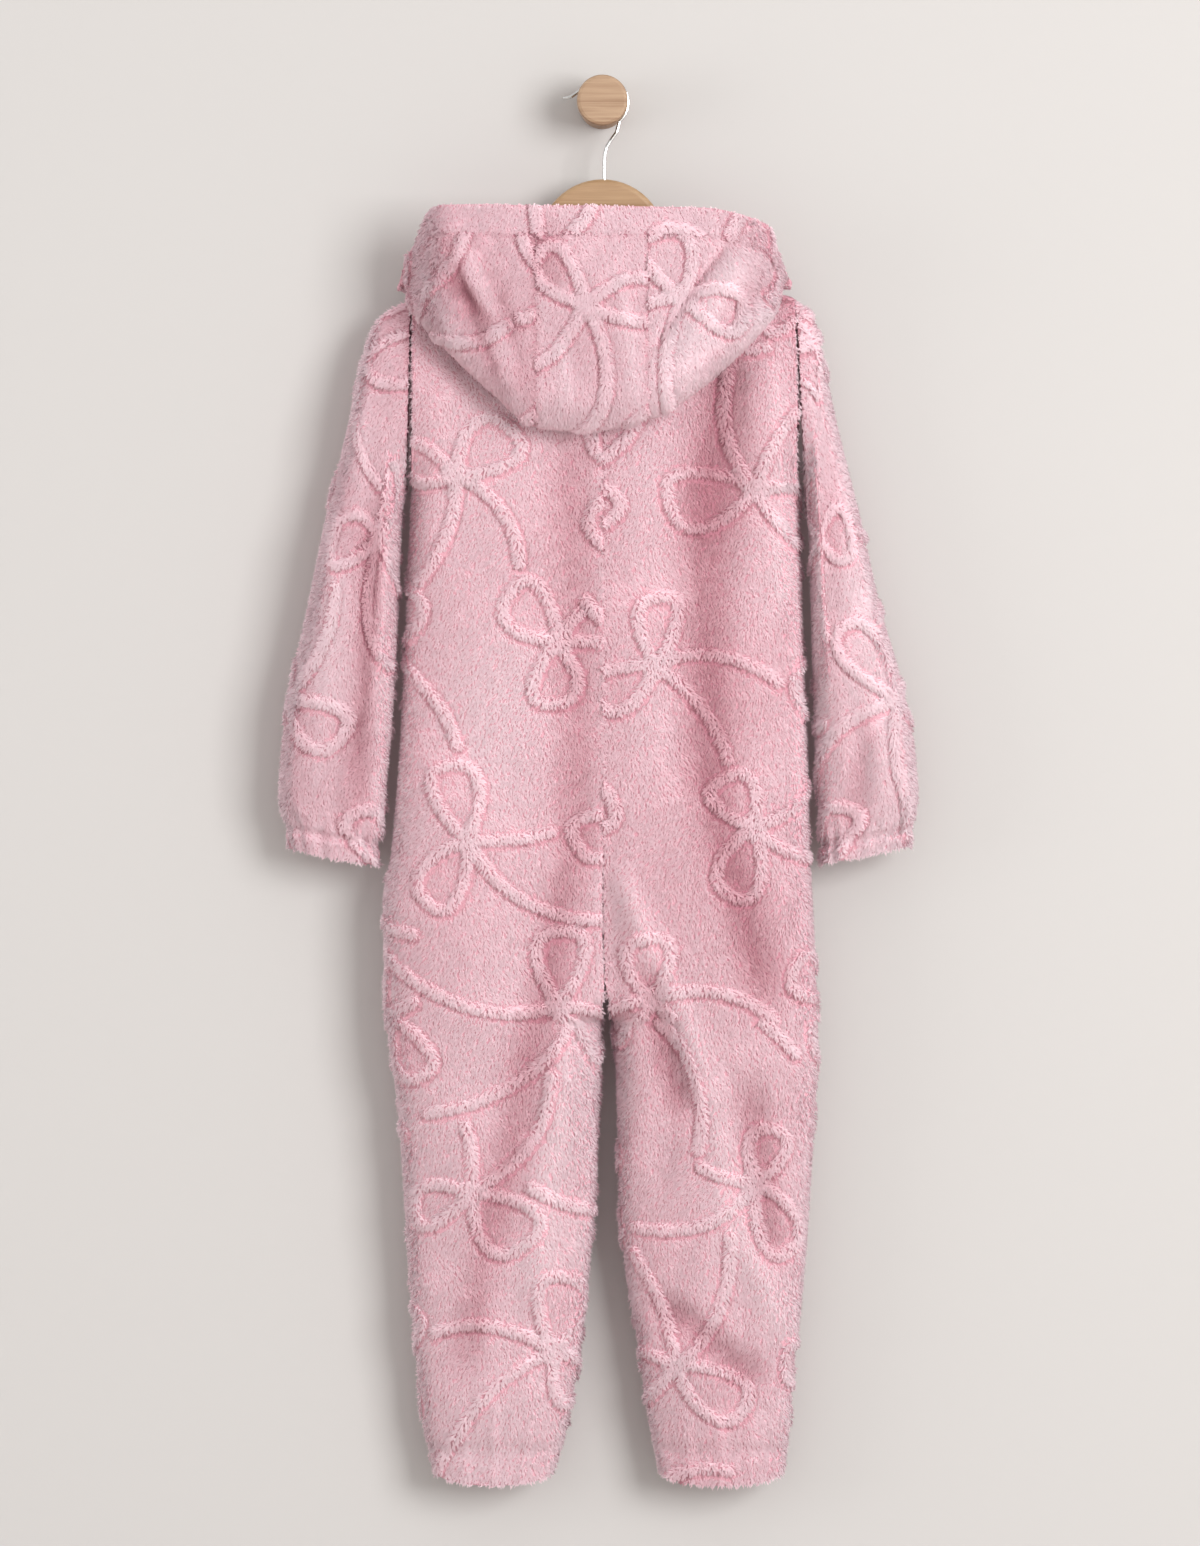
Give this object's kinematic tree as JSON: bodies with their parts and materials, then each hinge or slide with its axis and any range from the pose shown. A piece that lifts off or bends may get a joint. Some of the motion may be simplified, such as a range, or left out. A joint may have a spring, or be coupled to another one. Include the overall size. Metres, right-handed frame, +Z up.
{
  "type": "hooded onesie pajama on a wooden hanger and wall peg",
  "caption": "Child's hooded plush onesie pajama with gathered cuffs and ankles, shown from the back on a wooden hanger whose wire hook rests on a round wall peg.",
  "frame": {"origin": "middle of the peg's flat back, where it meets the wall", "axes": "+Z up; +Y into the wall, which the garment's front faces; -Y towards the viewer, who sees the garment's back; +X to the wearer's right, on the viewer's right"},
  "size_m": [0.5486, 0.1099, 1.1992],
  "materials": {
    "plush": "long soft pile with raised outlines",
    "zip_tape": "woven",
    "zip_coil": "satin",
    "zip_metal": "gloss enamel",
    "hanger_wood": "satin lacquer",
    "peg_wood": "oiled",
    "hook_steel": "bright wire"
  },
  "bodies": {
    "garment": {"back_left": "plush", "back_right": "plush", "front_left": "plush", "front_right": "plush", "sleeve_left": "plush", "sleeve_right": "plush", "hood_center": "plush", "hood_left": "plush", "hood_right": "plush", "hood_band": "plush", "zip_tape_left": "zip_tape", "zip_tape_right": "zip_tape", "zip_coil": "zip_coil", "zip_slider": "zip_metal", "hanger": "hanger_wood", "hook": "hook_steel", "peg": "peg_wood"},
    "zip_pull": {"zip_pull": "zip_metal"}
  },
  "joints": [
    {"name": "pull_swing", "type": "hinge", "parent": "garment", "child": "zip_pull", "pos_m": [0.00006, -0.01285, -0.198], "axis": [1, 0, 0], "range_deg": [0, 140]}
  ]
}
